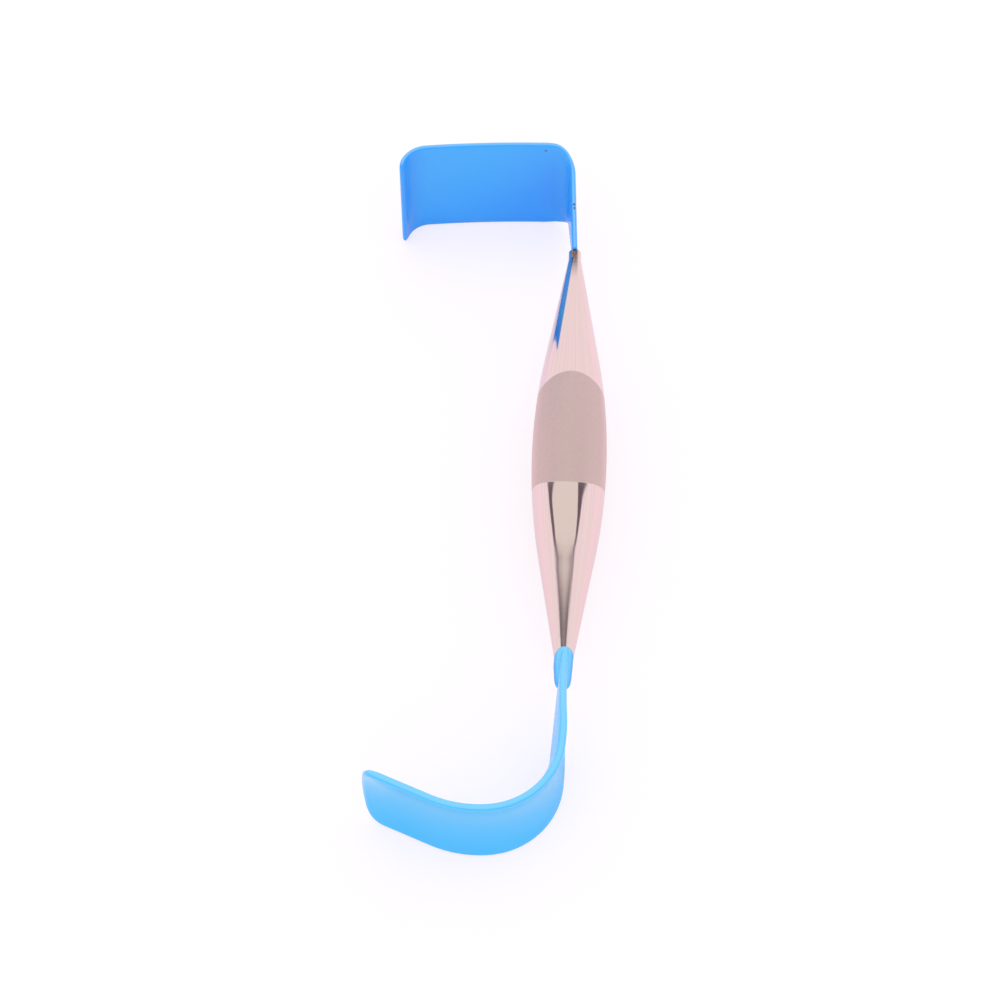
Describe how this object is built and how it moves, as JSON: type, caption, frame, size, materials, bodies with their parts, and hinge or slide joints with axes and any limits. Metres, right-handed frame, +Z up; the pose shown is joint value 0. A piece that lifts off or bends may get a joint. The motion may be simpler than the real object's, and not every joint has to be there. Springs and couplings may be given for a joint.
{
  "type": "surgical retractor",
  "caption": "Hand retractor with a hollow spindle handle, a wide square blade with a curled lip at one end and a dished curved blade at the other, both coated.",
  "frame": {"origin": "bottom centre of the box around the part, as it lies on its side on a table", "axes": "+Y along the handle towards the wide blade, +Z up, both blades point towards -X"},
  "size_m": [0.0796, 0.2672, 0.0485],
  "materials": {
    "handle_steel": "polished, with a satin band around the middle",
    "blade_steel": "satin",
    "blue_coating": "glossy moulded coating"
  },
  "bodies": {
    "root": {"handle": "handle_steel", "wide_blade": "blade_steel", "curved_blade": "blade_steel", "wide_blade_coating": "blue_coating", "curved_blade_coating": "blue_coating"}
  },
  "joints": []
}
